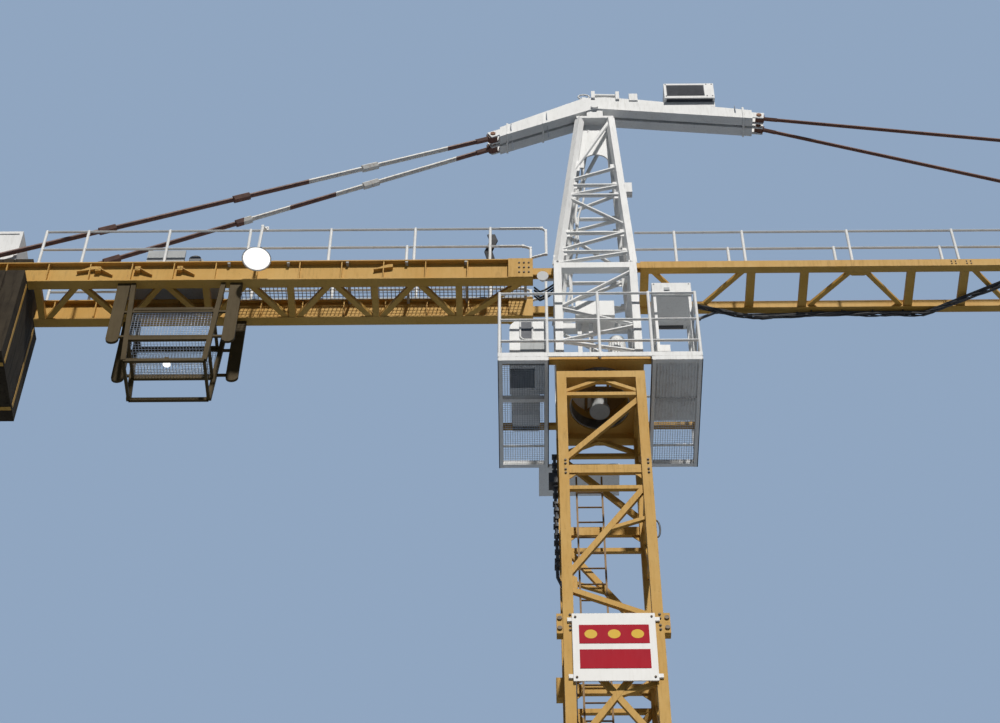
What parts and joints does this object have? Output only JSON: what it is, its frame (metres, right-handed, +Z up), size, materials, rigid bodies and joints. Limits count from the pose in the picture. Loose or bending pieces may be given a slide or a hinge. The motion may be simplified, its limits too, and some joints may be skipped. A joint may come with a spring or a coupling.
{
  "type": "tower crane",
  "caption": "Tower crane with a lattice mast, a white tower head with an apex rocker and ties, a flat two-chord jib and a short counter-jib with concrete blocks.",
  "frame": {"origin": "middle of the mast foot, on the underside of the base plate", "axes": "+X along the jib, +Z up along the mast, +Y away from the side with the sign board"},
  "size_m": [38.15, 2.61, 27.8398],
  "materials": {
    "ochre_paint": "satin",
    "white_paint": "satin",
    "rusty_tie": "matte",
    "grey_steel": "satin",
    "concrete": "matte",
    "black_cable": "matte"
  },
  "bodies": {
    "mast": {"base_plate": "ochre_paint", "mast_section_1": "ochre_paint", "mast_section_2": "ochre_paint", "mast_section_3": "ochre_paint", "mast_section_4": "ochre_paint", "mast_section_5": "ochre_paint", "mast_section_6": "ochre_paint", "slewing_support": "ochre_paint", "slewing_ring_lower": "grey_steel", "mast_ladder": "grey_steel", "sign_plate": "white_paint"},
    "upperworks": {"slewing_ring_upper": "grey_steel", "turning_frame": "ochre_paint", "head_lower": "white_paint", "head_upper": "white_paint", "apex_rocker": "white_paint", "apex_box": "white_paint", "jib_section_1": "ochre_paint", "jib_section_2": "ochre_paint", "jib_section_3": "ochre_paint", "jib_section_4": "ochre_paint", "jib_section_5": "ochre_paint", "jib_section_6": "ochre_paint", "jib_handrail": "white_paint", "jib_tie_outer": "rusty_tie", "jib_tie_inner": "rusty_tie", "jib_cable": "black_cable", "counter_jib_frame": "ochre_paint", "counter_handrail": "white_paint", "counter_tie_near": "rusty_tie", "counter_tie_far": "rusty_tie", "counterweight_1": "concrete", "counterweight_2": "concrete", "counterweight_3": "concrete", "tail_box": "white_paint", "hoist_winch": "grey_steel", "service_cage": "ochre_paint", "floodlight": "white_paint", "platform_left": "white_paint", "platform_right": "white_paint", "platform_rail": "white_paint", "slewing_motor": "white_paint", "control_box": "white_paint"}
  },
  "joints": [
    {"name": "slewing", "type": "hinge", "parent": "mast", "child": "upperworks", "pos_m": [0, 0, 19.5], "axis": [0, 0, 1], "continuous": true}
  ]
}
